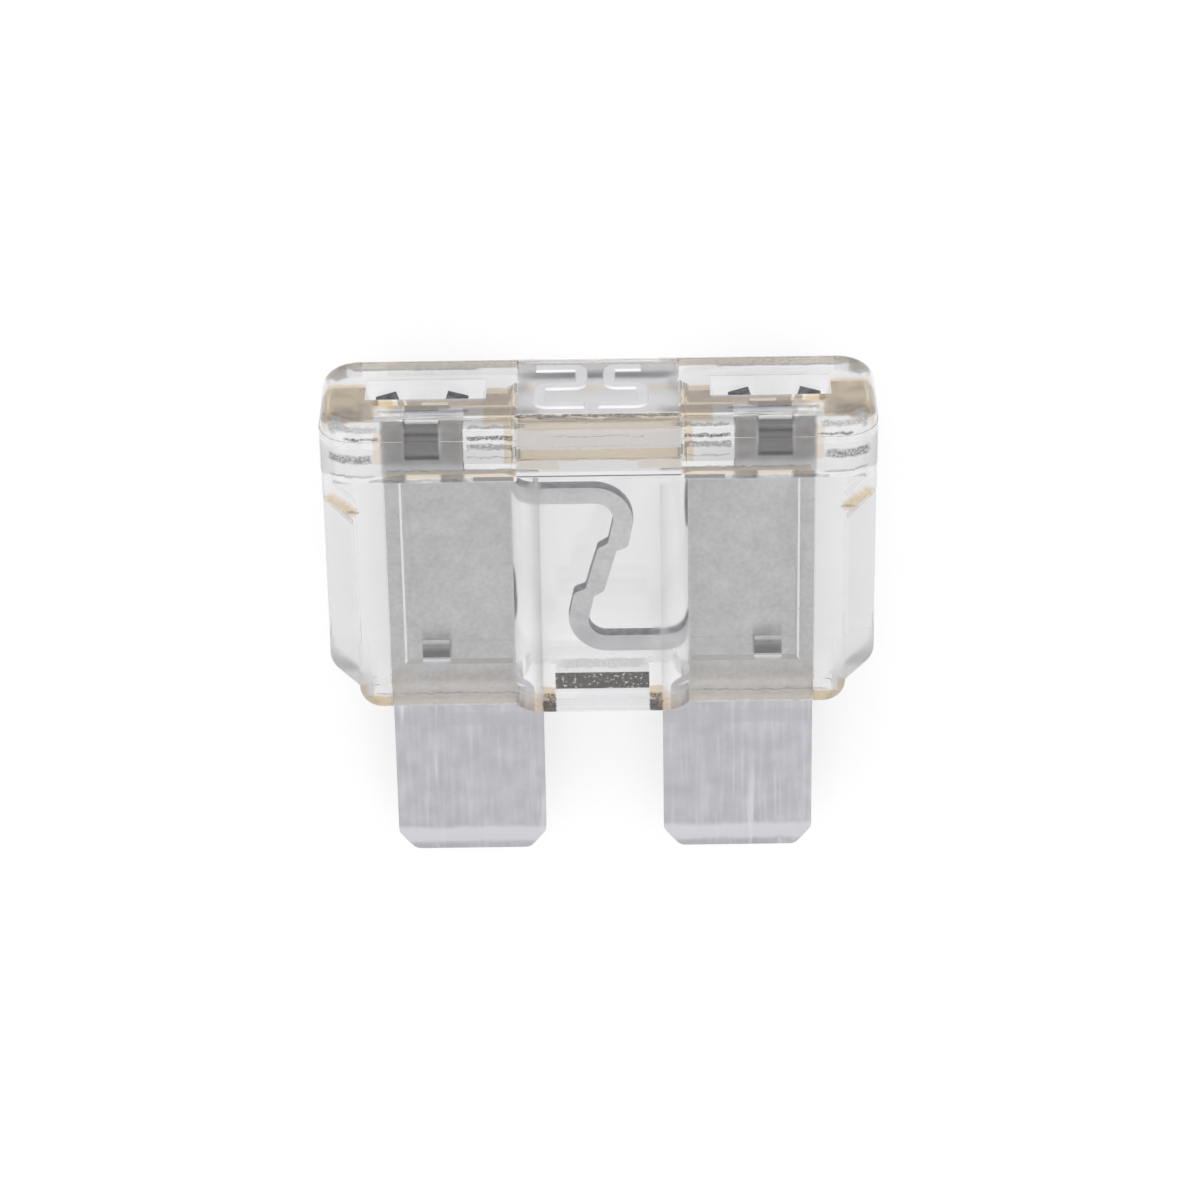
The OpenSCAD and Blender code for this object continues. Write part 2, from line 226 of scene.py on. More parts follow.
# 1 inside a box, falling to 0 over the softness outside it: how far the place lies past the half
# sizes is divided by the softness on each axis, and the length of the three gives the fall
def makePatchMask():
    group, entry, out = newGroup(
        "patch mask",
        [("Place", "Vector", None), ("Centre", "Vector", None), ("Half", "Vector", None),
         ("Softness", "Vector", None), ("Strength", "Float", 1.0)],
        [("Mask", "Float")])
    away = addNode(group, "ShaderNodeVectorMath", -700, 0, operation="SUBTRACT")
    folded = addNode(group, "ShaderNodeVectorMath", -500, 0, operation="ABSOLUTE")
    past = addNode(group, "ShaderNodeVectorMath", -300, 0, operation="SUBTRACT")
    outside = addNode(group, "ShaderNodeVectorMath", -100, 0, operation="MAXIMUM")
    shared = addNode(group, "ShaderNodeVectorMath", 50, 0, operation="DIVIDE")
    far = addNode(group, "ShaderNodeVectorMath", 180, 0, operation="LENGTH")
    fall = addNode(group, "ShaderNodeMapRange", 300, 0, interpolation_type="SMOOTHSTEP")
    fall.inputs["To Min"].default_value = 1.0
    fall.inputs["To Max"].default_value = 0.0
    link(group, entry.outputs["Place"], away.inputs[0])
    link(group, entry.outputs["Centre"], away.inputs[1])
    link(group, away.outputs[0], folded.inputs[0])
    link(group, folded.outputs[0], past.inputs[0])
    link(group, entry.outputs["Half"], past.inputs[1])
    link(group, past.outputs[0], outside.inputs[0])
    link(group, outside.outputs[0], shared.inputs[0])
    link(group, entry.outputs["Softness"], shared.inputs[1])
    link(group, shared.outputs[0], far.inputs[0])
    link(group, far.outputs["Value"], fall.inputs["Value"])
    scaled = addMath(group, "MULTIPLY", 600, 0, fall.outputs["Result"], entry.outputs["Strength"])
    link(group, scaled, out.inputs["Mask"])
    return group


speckEdge = (0.09, 0.04)  # a grain's rim and full dark, as shares of a cell


# dark grains: the inner part of a few cells of a cell pattern
def makeSpecks():
    group, entry, out = newGroup(
        "dark specks",
        [("Vector", "Vector", None), ("Scale", "Float", 600.0), ("Rarity", "Float", 0.85)],
        [("Mask", "Float")])
    cells = addNode(group, "ShaderNodeTexVoronoi", -600, 0, feature="F1")
    near = addNode(group, "ShaderNodeMapRange", -300, 0)
    for name, value in zip(("From Min", "From Max"), speckEdge):
        near.inputs[name].default_value = value
    link(group, entry.outputs["Vector"], cells.inputs["Vector"])
    link(group, entry.outputs["Scale"], cells.inputs["Scale"])
    link(group, cells.outputs["Distance"], near.inputs["Value"])
    rare = addMath(
        group, "GREATER_THAN", -300, -200, cells.outputs["Color"], entry.outputs["Rarity"])
    kept = addMath(group, "MULTIPLY", 0, 0, near.outputs["Result"], rare)
    link(group, kept, out.inputs["Mask"])
    return group


fineScuffs = makeFineScuffs()
darkSpecks = makeSpecks()
foldedPlace = makeFoldedPlace()
patchMask = makePatchMask()


# one mask from many patches, each given as centre, half size, softness and strength in mm
def addPatches(tree, x, y, place, patches):
    total = None
    for row, (centre, half, softness, strength) in enumerate(patches):
        patch = addNode(tree, "ShaderNodeGroup", x, y - 220 * row, node_tree=patchMask)
        patch.inputs["Centre"].default_value = centre
        patch.inputs["Half"].default_value = half
        patch.inputs["Softness"].default_value = np.broadcast_to(softness, 3)
        patch.inputs["Strength"].default_value = strength
        link(tree, place, patch.inputs["Place"])
        mask = patch.outputs["Mask"]
        if total is not None:
            mask = addMath(tree, "MAXIMUM", x + 200, y - 220 * row, total, mask)
        total = mask
    return total


def newMaterial(name):
    material = bpy.data.materials.new(name)
    material.use_nodes = True
    tree = material.node_tree
    tree.nodes.clear()
    return material, tree


# The clear moulding. Painted warm reflection stands for the amber that thick edges and folded
# light show, and painted shade stands for the dark lines at moulded steps. The patches for them
# sit where the moulding is thick or stepped, at both ends alike.
clearPlastic = {
    "tint": (0.885, 0.882, 0.885, 1),
    "cloudyTint": (0.84, 0.837, 0.84, 1),
    "thinTint": (0.975, 0.972, 0.972, 1),
    "fieldTint": (0.60, 0.595, 0.605, 1),
    # painted warm reflection: the amber that warm surroundings give through thick edges and folded
    # light
    "warmReflectionTint": (0.66, 0.47, 0.24, 1),
    # painted shade: the dark that refraction shows at moulded steps, holes and under the head
    "shadeTint": (0.022, 0.02, 0.018, 1),
    "roughness": 0.02,
    "scuffRoughness": 0.10,
    "matteRoughness": 0.3,
    "ior": 1.585,
    "crispAngle": 24,
    # noises: scale, detail, levels and, where it isn't 0 to 1, reach
    "cloud": (260.0, 4.0, (0.3, 0.7)),
    "breakUp": (15000.0, 3.0, (0.38, 0.54), (0.5, 1.0)),  # grain in the painted shade lines
    "glints": (9000.0, 3.0, (0.58, 0.7), (1.0, 0.55)),  # painted glints in the painted reflection on the web
    "wave": (420.0, 1.0, (0.0, 1.0)),  # faint waves of the moulded surface
    "waveStrength": 0.5,
    "waveHeight": 0.012 * mm,
    "specks": {"Scale": 480.0, "Rarity": 0.9},
    "scuffs": {"Scale": 1500.0, "Amount": 1.0},
    "crispEdge": {"Ragged": 0.0, "Grain": 1.0},
    "raggedEdge": {"Ragged": 0.2, "Grain": 3.0},  # reach in mm and noise scale
    # centre and half size in mm along |X|, Y and Z, then softness and strength
    "thinPatches": [  # the walls of the chamber and the blade slots
        ((0, 2.6, 2.55), (3.05, 4.2, 2.3), 0.1, 1.0),
        ((4.8, 2.4, 2.55), (2.8, 4.5, 0.45), 0.1, 1.0),
    ],
    "mattePatches": [
        ((0, 9.1, 2.55), (2.72, 0.15, 1.95), 0.05, 1.0),  # the number's field
        ((9.2, 8.4, 2.5), (0.9, 1.4, 2.8), 0.3, 0.55),  # ends of the head
        ((3.0, 2.6, 2.55), (0.02, 4.4, 1.5), 0.03, 1.0),  # side walls of the chamber
        ((5.9, 9.2, 4.5), (3.0, 0.3, 0.6), 0.15, 0.3),  # front edge of the top
        ((6.05, 8.2, 5.1), (1.36, 0.95, 0.15), 0.08, 0.8),  # in front of the tabs
        ((5.3, 7.2, 5.1), (3.0, 0.3, 0.3), 0.05, 0.6),  # lower front edge of the head
        ((5.75, -0.5, 4.1), (0.55, 0.35, 0.5), 0.05, 0.8),  # staking dimples
        ((9.0, -1.2, 2.5), (0.9, 1.3, 2.6), 0.2, 1.0),  # corners of the foot
        ((2.4, 2.0, 4.6), (0.6, 4.6, 0.45), 0.05, 0.5),  # sides of the raised panel
    ],
    "fieldPatches": [((0, 9.16, 2.55), (2.74, 0.06, 1.97), 0.03, 1.0)],
    # painted warm reflection, where thick edges and folded light show amber
    "warmReflectionPatches": [
        ((5.9, 9.2, 0.72), (3.1, 0.3, 0.28), 0.06, 0.65),  # back edge of the top
        ((9.05, 9.2, 1.2), (0.3, 0.3, 0.25), 0.1, 0.7),
        ((8.65, 9.2, 3.35), (0.62, 0.5, 1.0), (0.22, 0.3, 0.3), 1.0),  # beside each window
        ((8.2, 9.1, 4.4), (0.5, 0.3, 0.4), 0.1, 0.8),
        ((3.35, 9.2, 3.75), (0.5, 0.3, 1.05), (0.1, 0.2, 0.25), 0.9),
        ((0, 9.16, 2.5), (2.7, 0.06, 0.16), 0.1, 0.5),  # across the number's field
        ((5.9, 9.25, 3.78), (2.35, 0.15, 0.25), 0.06, 0.9),  # in front of each window
        ((3.05, 8.4, 5.05), (0.13, 0.75, 0.2), 0.06, 0.8),
        ((5.0, 7.25, 5.1), (2.2, 0.12, 0.2), 0.05, 0.75),  # above the underside of the head
        ((7.5, 8.3, 5.0), (0.12, 0.6, 0.2), 0.06, 0.6),  # beside the tabs
        ((0, 9.05, 4.9), (2.8, 0.18, 0.3), 0.06, 0.75),  # middle field
        ((0, 8.45, 5.0), (2.75, 0.4, 0.3), 0.1, 0.3),
        ((0, 7.85, 5.0), (2.75, 0.2, 0.3), 0.06, 0.85),
        ((2.1, 7.45, 4.9), (0.7, 0.13, 0.3), 0.1, 0.5),
        ((9.2, 5.92, 3.9), (0.06, 0.06, 0.6), 0.22, 1.0),  # gusset
        ((9.03, 5.79, 3.9), (0.06, 0.06, 0.6), 0.24, 1.0),
        ((8.86, 5.66, 3.9), (0.06, 0.07, 0.6), 0.26, 1.0),
        ((8.69, 5.52, 3.9), (0.06, 0.07, 0.6), 0.26, 1.0),
        ((8.53, 5.4, 3.9), (0.05, 0.08, 0.6), 0.24, 1.0),
        ((8.47, 2.0, 4.2), (0.03, 3.6, 0.3), 0.1, 0.15),  # edges of the block
        ((5.4, -2.1, 4.1), (2.6, 0.18, 0.5), 0.05, 0.5),  # foot edge
        ((7.9, -2.15, 3.9), (0.5, 0.18, 0.6), 0.08, 1.0),  # corners of the foot
        ((8.4, -1.7, 3.4), (0.06, 0.15, 0.9), 0.2, 0.9),
        ((2.3, -2.2, 4.4), (0.3, 0.3, 0.5), 0.15, 0.6),  # open slots beside the web
        ((1.87, -1.75, 4.4), (0.2, 0.12, 0.6), 0.06, 0.9),
    ],
    # painted shade lines, where refraction shows dark at moulded steps and edges
    "shadeLinePatches": [
        ((6.3, 9.25, 1.07), (2.0, 0.1, 0.05), (0.3, 0.1, 0.07), 0.9),  # behind each window
        ((5.9, 9.2, 0.72), (3.1, 0.3, 0.28), 0.06, 0.65),
        ((8.6, 9.1, 4.5), (0.5, 0.3, 0.25), 0.15, 0.7),  # in front of each window
        ((5.98, 9.25, 4.28), (1.5, 0.15, 0.07), (0.1, 0.1, 0.06), 0.8),
        ((3.7, 8.99, 5.05), (0.72, 0.02, 0.2), 0.05, 0.75),  # painted shade lines beside the tabs
        ((3.7, 8.6, 5.1), (0.75, 0.05, 0.2), 0.05, 1.0),
        ((3.7, 8.28, 5.1), (0.75, 0.08, 0.2), 0.06, 0.85),
        ((3.7, 7.88, 5.1), (0.75, 0.01, 0.2), 0.04, 0.6),
        ((5.0, 7.41, 5.1), (2.2, 0.01, 0.2), 0.035, 0.7),  # lower front edge of the head
        ((6.0, 7.02, 5.0), (1.8, 0.04, 0.3), 0.05, 0.65),
        ((8.05, 8.6, 5.05), (0.5, 0.03, 0.3), (0.15, 0.05, 0.1), 0.95),  # ends of the head
        ((8.45, 7.85, 4.9), (0.65, 0.1, 0.5), (0.2, 0.12, 0.2), 0.9),
        ((8.3, 8.95, 4.9), (0.6, 0.05, 0.3), (0.3, 0.1, 0.2), 0.7),
        ((8.4, 7.2, 4.9), (0.6, 0.02, 0.4), (0.3, 0.05, 0.2), 0.7),
        ((0, 9.2, 4.7), (2.8, 0.15, 0.06), 0.04, 1.0),  # middle field
        ((0, 8.58, 5.0), (1.5, 0.02, 0.3), (0.4, 0.04, 0.1), 0.7),
        ((0, 8.2, 5.0), (1.7, 0.05, 0.3), (0.4, 0.06, 0.1), 0.5),
        ((0, 8.4, 5.0), (2.8, 0.75, 0.3), 0.1, 0.25),
        ((0, 7.45, 4.9), (2.7, 0.12, 0.2), 0.04, 0.35),
        ((0, -0.4, 4.8), (1.2, 0.12, 0.3), (0.6, 0.12, 0.1), 0.45),  # over the web
        ((8.8, 6.6, 4.2), (0.3, 0.05, 0.4), 0.06, 0.6),  # gusset
        ((8.5, 5.38, 4.2), (0.2, 0.02, 0.3), 0.06, 0.7),
        ((5.4, -1.86, 4.2), (2.5, 0.015, 0.3), 0.04, 0.6),  # foot edge
        ((5.4, -2.15, 4.1), (2.6, 0.15, 0.5), 0.06, 0.28),
        ((1.87, -2.15, 4.5), (0.19, 0.22, 0.5), 0.06, 1.0),  # open slots
    ],
    # painted shade, even in tone: staking holes and dimples, under the head and its ribs, and the
    # flanges
    "solidShadePatches": [
        ((6.0, 8.48, 4.95), (0.54, 0.6, 0.35), 0.14, 0.97),  # staking holes in the tabs
        ((6.05, 8.2, 5.1), (1.34, 0.85, 0.2), 0.06, 0.15),  # in front of the tabs
        ((0, 8.4, 5.0), (2.8, 0.75, 0.3), 0.1, 0.41),  # middle field
        ((0, 7.4, 4.95), (2.75, 0.2, 0.3), 0.05, 0.3),
        ((3.6, 7.05, 5.0), (0.66, 0.07, 0.3), (0.08, 0.03, 0.1), 0.9),  # under each rib
        ((9.3, 2.0, 2.5), (0.6, 3.6, 2.6), 0.2, 0.09),  # flanges
        ((0, 7.0, 4.85), (2.95, 0.012, 0.15), 0.025, 1.0),  # underside of the head
        ((5.8, -0.56, 3.4), (0.48, 0.28, 0.45), (0.06, 0.3, 0.1), 0.62),  # staking dimples
        ((5.8, -0.15, 3.4), (0.46, 0.2, 0.45), (0.08, 0.5, 0.1), 0.26),
    ],
    # painted reflection on the web: a dark strip with pale glints
    "webReflectionPatches": [((0, -1.1, 4.8), (1.63, 0.31, 0.3), (0.02, 0.03, 0.1), 1.0)],
}


# soft light passes clear walls: shadow and bounced rays go straight through the surface
def addClearOutput(tree, shader):
    path = addNode(tree, "ShaderNodeLightPath", -700, 800)
    soft = addMath(
        tree, "MAXIMUM", -450, 700, path.outputs["Is Shadow Ray"], path.outputs["Is Diffuse Ray"])
    through = addNode(tree, "ShaderNodeBsdfTransparent", -250, 500)
    mixed = addNode(tree, "ShaderNodeMixShader", 150, 300)
    out = addNode(tree, "ShaderNodeOutputMaterial", 450, 200)
    link(tree, soft, mixed.inputs["Fac"])
    link(tree, shader.outputs["BSDF"], mixed.inputs[1])
    link(tree, through.outputs["BSDF"], mixed.inputs[2])
    link(tree, mixed.outputs["Shader"], out.inputs["Surface"])


def makeClearPlastic():
    values = clearPlastic
    material, tree = newMaterial("clear plastic")
    coords = addNode(tree, "ShaderNodeTexCoord", -2600, 0)
    spot = coords.outputs["Object"]
    exact = addGroup(tree, -2400, -300, foldedPlace, coords, **values["crispEdge"])
    ragged = addGroup(tree, -2400, 0, foldedPlace, coords, **values["raggedEdge"])
    cloud = addNoise(tree, -1400, 600, spot, *values["cloud"])
    breakUp = addNoise(tree, -1400, 300, spot, *values["breakUp"])
    thin = addPatches(tree, -2000, 2000, exact, values["thinPatches"])
    matte = addPatches(tree, -2000, 2400, exact, values["mattePatches"])
    # painted warm reflection
    warmReflection = addPatches(tree, -2000, 1400, ragged, values["warmReflectionPatches"])
    # painted shade lines, broken up by grain
    shadeLines = addPatches(tree, -2000, -1600, ragged, values["shadeLinePatches"])
    broken = addMath(tree, "MULTIPLY", -1150, 100, shadeLines, breakUp)
    # painted shade, even in tone
    solid = addPatches(tree, -2000, -2000, exact, values["solidShadePatches"])
    glints = addNoise(tree, -1400, 900, spot, *values["glints"])
    # painted reflection on the web, with painted glints
    webReflection = addPatches(tree, -2000, -2600, exact, values["webReflectionPatches"])
    glinting = addMath(tree, "MULTIPLY", -1150, 900, webReflection, glints)
    specks = addGroup(tree, -1400, 1100, darkSpecks, coords, **values["specks"])
    darkParts = addMath(tree, "MAXIMUM", -1050, 900, glinting, specks)
    darkest = addMath(tree, "MAXIMUM", -1050, 200, broken, solid)
    dark = addMath(tree, "MAXIMUM", -1000, 100, darkest, darkParts)
    field = addPatches(tree, -2000, -2300, exact, values["fieldPatches"])
    tint = addBlend(tree, -1000, 700, cloud, values["tint"], values["cloudyTint"])
    thinned = addBlend(tree, -850, 600, thin, tint, values["thinTint"])
    shaded = addBlend(tree, -775, 500, field, thinned, values["fieldTint"])
    # the painted warm reflection laid over the plastic's colour
    warm = addBlend(tree, -700, 400, warmReflection, shaded, values["warmReflectionTint"])
    # painted shade laid over everything else
    colour = addBlend(tree, -500, 300, dark, warm, values["shadeTint"])
    scuffs = addGroup(tree, -1400, 0, fineScuffs, coords, **values["scuffs"])
    rough = addNode(tree, "ShaderNodeMapRange", -900, 0)
    rough.inputs["To Min"].default_value = values["roughness"]
    rough.inputs["To Max"].default_value = values["scuffRoughness"]
    dull = addMath(tree, "MULTIPLY", -900, -250, matte, values["matteRoughness"])
    finish = addMath(tree, "MAXIMUM", -650, -100, rough.outputs["Result"], dull)
    wave = addNoise(tree, -1400, -600, spot, *values["wave"])
    bump = addNode(tree, "ShaderNodeBump", -650, -400)
    bump.inputs["Strength"].default_value = values["waveStrength"]
    bump.inputs["Distance"].default_value = values["waveHeight"]
    shader = addNode(tree, "ShaderNodeBsdfPrincipled", -250, 200)
    shader.inputs["Transmission Weight"].default_value = 1.0
    shader.inputs["IOR"].default_value = values["ior"]
    link(tree, colour, shader.inputs["Base Color"])
    link(tree, scuffs, rough.inputs["Value"])
    link(tree, finish, shader.inputs["Roughness"])
    link(tree, wave, bump.inputs["Height"])
    link(tree, bump.outputs["Normal"], shader.inputs["Normal"])
    addClearOutput(tree, shader)
    return material


# the raised digits: the same plastic with a fine milky skin
milkySkin = {
    "palest": (0.98, 0.98, 1.0, 1),
    "dullest": (0.92, 0.92, 0.94, 1),
    "roughness": 0.42,
    "transmission": 0.12,
    "clouds": (1400.0, 3.0, (0.35, 0.65)),
    "reliefStrength": 0.3,
    "reliefHeight": 0.01 * mm,
}


def makeMilkySkin():
    material, tree = newMaterial("milky digits")
    coords = addNode(tree, "ShaderNodeTexCoord", -1200, 0)
    spot = coords.outputs["Object"]
    clouds = addNoise(tree, -1000, 200, spot, *milkySkin["clouds"])
    colour = addBlend(tree, -600, 200, clouds, milkySkin["palest"], milkySkin["dullest"])
    bump = addNode(tree, "ShaderNodeBump", -600, -200)
    bump.inputs["Strength"].default_value = milkySkin["reliefStrength"]
    bump.inputs["Distance"].default_value = milkySkin["reliefHeight"]
    shader = addNode(tree, "ShaderNodeBsdfPrincipled", -250, 200)
    shader.inputs["Transmission Weight"].default_value = milkySkin["transmission"]
    shader.inputs["Roughness"].default_value = milkySkin["roughness"]
    shader.inputs["IOR"].default_value = clearPlastic["ior"]
    link(tree, clouds, bump.inputs["Height"])
    link(tree, colour, shader.inputs["Base Color"])
    link(tree, bump.outputs["Normal"], shader.inputs["Normal"])
    addClearOutput(tree, shader)
    return material


# The rating number on top of the head. Its strokes are given as middle lines in mm: X, and the
# distance in front of the middle plane, so the digits read from the front.
numerals = {
    "padFloorY": (9.25 - 0.09) * mm,  # the field lies a little under the top of the head
    "topY": 9.245 * mm,
    "baseWidth": 0.42 * mm,
    "topWidth": 0.34 * mm,
    "cornerRadius": 0.3 * mm,
    "cornerSteps": 7,
    "strokes": [
        [(-2.15, -1.49), (-0.57, -1.49), (-0.57, -0.11), (-2.0, -0.11), (-2.0, 1.30),
         (-0.45, 1.30)],
        [(1.5, -1.49), (0.38, -1.49), (0.38, -0.11), (1.52, -0.11), (1.52, 1.30), (0.0, 1.30)],
    ],
    # the field's floor is found by its height and by how squarely it faces +Y
    "floorSlack": 0.01 * mm,
    "floorFacing": 0.99,
}


# A polyline whose inner corners are rounded: each turn is the quadratic curve
# (1-t)^2 start + 2t(1-t) corner + t^2 end, from one radius before the corner to one after it.
def roundedPath(corners, radius, steps):
    t = np.linspace(0, 1, steps)[:, None]
    parts = [corners[:1]]
    for before, here, after in zip(corners[:-2], corners[1:-1], corners[2:]):
        start = here + (before - here) / np.linalg.norm(before - here) * radius
        end = here + (after - here) / np.linalg.norm(after - here) * radius
        parts.append((1 - t) ** 2 * start + 2 * t * (1 - t) * here + t ** 2 * end)
    parts.append(corners[-1:])
    return np.concatenate(parts)


# The closed outline of a stroke: the path moved half a width to its left, then back along the
# path moved half a width to its right, with both ends pulled in by the inset.
def ribbonLoop(path, width, inset, height):
    run = np.gradient(path, axis=0)
    run /= np.linalg.norm(run, axis=1)[:, None]
    side = np.stack([-run[:, 1], run[:, 0]], axis=1) * width / 2
    middle = path.copy()
    middle[0] += run[0] * inset
    middle[-1] -= run[-1] * inset
    flat = np.concatenate([middle + side, (middle - side)[::-1]])
    return np.stack([flat[:, 0], np.full(len(flat), height), flat[:, 1] + midZ], axis=1)


# Raised strokes without a floor: a wide outline on the field and a narrower one above it, with
# walls between the two and a strip of quads across the top.
def digitMesh(values):
    slope = (values["baseWidth"] - values["topWidth"]) / 2
    points, faces, count = [], [], 0
    for stroke in values["strokes"]:
        path = roundedPath(np.array(stroke) * mm, values["cornerRadius"], values["cornerSteps"])
        points.append(ribbonLoop(path, values["baseWidth"], 0, values["padFloorY"]))
        points.append(ribbonLoop(path, values["topWidth"], slope, values["topY"]))
        size = 2 * len(path)
        here = np.arange(size)
        after = (here + 1) % size
        walls = np.stack([here, after, after + size, here + size], axis=1)
        i = np.arange(len(path) - 1)
        top = np.stack([i, i + 1, size - 2 - i, size - 1 - i], axis=1) + size
        faces.append(np.concatenate([walls, top]) + count)
        count += 2 * size
    mesh = bpy.data.meshes.new("digits")
    mesh.from_pydata(np.concatenate(points), [], np.concatenate(faces).tolist())
    mesh.polygons.foreach_set("material_index", np.ones(len(mesh.polygons), dtype=np.int32))
    return mesh


# opens the floor of the field, sets the strokes on it and fills the floor round them
def raiseDigits(housing, values):
    work = bmesh.new()
    work.from_mesh(housing.data)
    padFloor = [
        face for face in work.faces
        if face.normal.y > values["floorFacing"]
        and abs(face.calc_center_median().y - values["padFloorY"]) < values["floorSlack"]]
    bmesh.ops.delete(work, geom=padFloor, context="FACES_ONLY")
    work.from_mesh(digitMesh(values))
    rims = [edge for edge in work.edges if edge.is_boundary]
    for part in bmesh.ops.triangle_fill(work, edges=rims, use_beauty=True)["geom"]:
        if isinstance(part, bmesh.types.BMFace):
            part.material_index = 0
    bmesh.ops.recalc_face_normals(work, faces=work.faces)
    openEdges = sum(not edge.is_manifold for edge in work.edges)
    volume = round(work.calc_volume() / mm ** 3, 2)
    print("digits raised, open edges:", openEdges, "volume mm3:", volume)
    work.to_mesh(housing.data)
    work.free()


def buildHousing():
    housing = mergedCopy("housing", "clear_fuse_housing")
    raiseDigits(housing, numerals)
    shadeFlatAndRound(housing, clearPlastic["crispAngle"])
    housing.data.materials.append(makeClearPlastic())
    housing.data.materials.append(makeMilkySkin())
    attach(housing, "root")
    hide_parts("housing")
    return housing


housing = buildHousing()
print("housing:", len(housing.data.polygons), "faces")

# The stamping: rolled strip with drawn streaks, sheared edges, darker worked metal in the tabs,
# and painted shade on the upper arm of the link under the head. The inner colours are those of the
# part inside the housing.
rolledZinc = {
    "darkColour": (0.49, 0.485, 0.505, 1),
    "paleColour": (0.64, 0.635, 0.66, 1),
    "innerDarkColour": (0.48, 0.48, 0.475, 1),
    "innerPaleColour": (0.65, 0.65, 0.645, 1),
    "rubbedColour": (0.76, 0.755, 0.78, 1),
    "tipColour": (0.74, 0.735, 0.76, 1),
    # darker worked metal in the tabs, and painted shade on the upper arm of the link
    "workedAndShadeColour": (0.30, 0.295, 0.295, 1),
    "prongColour": (0.085, 0.085, 0.10, 1),
    "shearedColour": (0.45, 0.445, 0.455, 1),
    "linkEdgeColour": (0.17, 0.17, 0.19, 1),
    "speckColour": (0.13, 0.12, 0.12, 1),
    "roughnessLow": 0.36,
    "roughnessHigh": 0.52,
    "bevel": 0.035 * mm,
    "bevelSegments": 2,
    "bevelAngle": 40,
    "crispAngle": 30,
    "shearedFrom": 0.8,  # a face counts as sheared where its normal's Z is below this
    "shearedFade": 0.5,
    "streakStretch": 0.06,
    # noises: scale, detail, levels and, where it isn't 0 to 1, reach
    "streak": (6500.0, 5.0, (0.48, 0.74)),
    "mottle": (1300.0, 8.0, (0.34, 0.68)),
    "grain": (6500.0, 3.0, (0.34, 0.66)),
    "grime": (3600.0, 4.0, (0.35, 0.60), (0.6, 1.0)),
    "mottleShare": 0.5,
    "reliefStrength": 0.35,
    "reliefHeight": 0.01 * mm,
    "specks": {"Scale": 620.0, "Rarity": 0.86},
    "scuffs": {"Scale": 1700.0, "Amount": 0.8},
    "crispEdge": {"Ragged": 0.0, "Grain": 1.0},
    "raggedEdge": {"Ragged": 0.3, "Grain": 1.5},
    # centre and half size in mm along |X|, Y and Z, then softness and strength
    "tipPatches": [
        ((4.7, -8.6, 2.55), (3.0, 0.2, 0.6), (0.3, 0.25, 0.2), 0.75),  # above the blade tips
        ((1.0, -0.2, 2.55), (1.9, 0.5, 0.6), 0.3, 0.45),  # lower arm of the link
    ],
    "linkPatches": [((0, 2.6, 2.55), (2.0, 4.6, 0.6), 0.06, 1.0)],
    "bandPatches": [((4.7, -3.75, 2.55), (3.2, 0.2, 0.6), 0.12, 0.5)],  # darker band a little below the foot
    "plugPatches": [((4.7, -6.2, 2.55), (3.2, 3.6, 0.6), 0.4, 1.0)],  # outside the housing
    "workedAndShadePatches": [
        ((6.05, 8.1, 2.55), (2.2, 1.0, 0.6), 0.3, 0.9),  # tabs
        ((1.0, 6.1, 2.55), (1.9, 0.5, 0.6), 0.3, 0.25),  # painted shade on the upper arm of the link, under the head
    ],
    "prongPatches": [((6.05, 8.95, 2.55), (2.2, 0.5, 0.6), 0.05, 1.0)],
}


